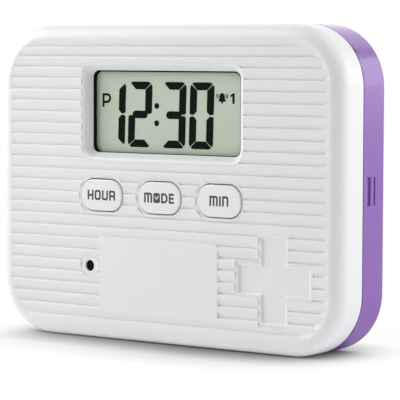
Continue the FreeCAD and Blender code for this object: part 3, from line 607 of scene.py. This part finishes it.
def buildStage():
    bm = bmesh.new()
    bmesh.ops.create_grid(bm, x_segments=1, y_segments=1, size=stage["half"])
    floor = addMesh("floor", bm)
    finish = Finish("paleFloor")
    # the floor glows faintly for every ray: painted light that brightens the box from below
    finish.set(Base_Color=stage["colour"], Roughness=stage["roughness"], Specular_IOR_Level=stage["gloss"],
               Emission_Color=stage["colour"], Emission_Strength=stage["glow"])
    rays = finish.tree.nodes.new("ShaderNodeLightPath")
    direct = Wire(finish, rays.outputs["Is Camera Ray"])
    glossy = Wire(finish, rays.outputs["Is Glossy Ray"])
    distance = finish.node("ShaderNodeVectorMath", {"operation": "LENGTH"}, {0: finish.place}, "Value")
    fade = finish.node("ShaderNodeMapRange", {"interpolation_type": "SMOOTHSTEP"},
                       {"Value": distance, "From Min": stage["near"], "From Max": stage["far"],
                        "To Min": stage["white"], "To Max": 1.0})
    shades = {}
    for name in ("contact", "front", "reflectedShade"):
        shadow = stage[name]
        # leans away from the box at its two ends, where the side lamps wash the shadow out
        outward, inward, up = shadow["lean"]
        leaning = finish.node("ShaderNodeCombineXYZ", {}, {
            0: (finish.axis("X") - stage["middle"]) * outward, 1: inward, 2: up})
        clear = finish.node("ShaderNodeAmbientOcclusion", {"samples": stage["samples"]},
                            {"Distance": shadow["reach"], "Normal": leaning}, "AO")
        shades[name] = clear.math("POWER", clear, shadow["depth"])
    # painted shadow for camera rays, and painted shade in the floor as glossy rays see it
    shade = direct * shades["contact"] * shades["front"] + glossy * shades["reflectedShade"]
    white = finish.node("ShaderNodeEmission", {}, {"Strength": shade})
    mixed = finish.node("ShaderNodeMixShader", {}, {0: (direct + glossy) * fade,
                                                    1: Wire(finish, finish.shader.outputs[0]), 2: white})
    output = [n for n in finish.tree.nodes if n.type == "OUTPUT_MATERIAL"][0]
    finish.feed(output.inputs[0], mixed)
    wear(floor, finish.material)


studio = {"ambient": 0.1, "tint": (0.97, 0.98, 1.0, 1), "white": (1, 1, 1, 1)}


def buildWorld():
    world = bpy.data.worlds.new("studio")
    bpy.context.scene.world = world
    world.use_nodes = True
    tree = world.node_tree
    tree.nodes.clear()
    rays = tree.nodes.new("ShaderNodeLightPath")
    either = rays.outputs["Is Camera Ray"]
    for kind in ("Is Glossy Ray", "Is Transmission Ray"):
        both = tree.nodes.new("ShaderNodeMath")
        both.operation = "MAXIMUM"
        tree.links.new(either, both.inputs[0])
        tree.links.new(rays.outputs[kind], both.inputs[1])
        either = both.outputs[0]
    seen = tree.nodes.new("ShaderNodeBackground")
    seen.inputs["Strength"].default_value = 1.0
    seen.inputs["Color"].default_value = studio["white"]
    ambient = tree.nodes.new("ShaderNodeBackground")
    ambient.inputs["Color"].default_value = studio["tint"]
    ambient.inputs["Strength"].default_value = studio["ambient"]
    mixed = tree.nodes.new("ShaderNodeMixShader")
    output = tree.nodes.new("ShaderNodeOutputWorld")
    tree.links.new(either, mixed.inputs[0])
    tree.links.new(ambient.outputs[0], mixed.inputs[1])
    tree.links.new(seen.outputs[0], mixed.inputs[2])
    tree.links.new(mixed.outputs[0], output.inputs[0])


def directionTo(place):
    # azimuth is seen from above, 0 in front of the display and 90 on its right
    a, e = math.radians(place["azimuth"]), math.radians(place["elevation"])
    return Vector((math.sin(a) * math.cos(e), -math.cos(a) * math.cos(e), math.sin(e)))


# soft boxes around the middle of the part, in metres and watts
softBoxes = {
    "keyLeft": {"azimuth": -62, "elevation": 29, "distance": 0.55, "size": 0.45, "power": 2.72},
    "topRight": {"azimuth": 95, "elevation": 62, "distance": 0.6, "size": 0.4, "power": 1.6},
    "sideRight": {"azimuth": 105, "elevation": 12, "distance": 0.9, "size": 0.6, "power": 2.7},
    "backRight": {"azimuth": 146, "elevation": 14, "distance": 0.9, "size": 0.45, "power": 1.3},
    "back": {"azimuth": 200, "elevation": 35, "distance": 1.0, "size": 0.9, "power": 1.2},
}


def addSoftBoxes():
    middle = (cadBox[0] + cadBox[1]) / 2
    for name, box in softBoxes.items():
        back = directionTo(box)
        lamp = bpy.data.lights.new(name, "AREA")
        lamp.shape = "SQUARE"
        lamp.size = box["size"]
        lamp.energy = box["power"]
        obj = bpy.data.objects.new(name, lamp)
        obj.location = middle + back * box["distance"]
        obj.rotation_euler = (-back).to_track_quat("-Z", "Y").to_euler()
        bpy.context.collection.objects.link(obj)


# long lens from the right of the display, a little above the box's middle
view = {"azimuth": 36.117, "elevation": 3.82, "roll": 0.186, "distance": 449.45 * mm,
        "aim": (10.035 * mm, -8.4 * mm, 30.9 * mm), "lens": 196.37, "sensor": 36,
        "near": 0.01, "far": 20}


def addCamera():
    back = directionTo(view)
    data = bpy.data.cameras.new("camera")
    data.sensor_width = view["sensor"]
    data.lens = view["lens"]
    data.clip_start = view["near"]
    data.clip_end = view["far"]
    camera = bpy.data.objects.new("camera", data)
    camera.rotation_mode = "QUATERNION"
    roll = Matrix.Rotation(math.radians(view["roll"]), 4, "Z").to_quaternion()
    camera.rotation_quaternion = (-back).to_track_quat("-Z", "Y") @ roll
    camera.location = Vector(view["aim"]) + back * view["distance"]
    bpy.context.collection.objects.link(camera)
    bpy.context.scene.camera = camera


buildStage()
buildWorld()
addSoftBoxes()
addCamera()
bpy.context.scene.view_settings.view_transform = "Standard"
print("stage, lights and camera set")

bpy.context.view_layer.update()
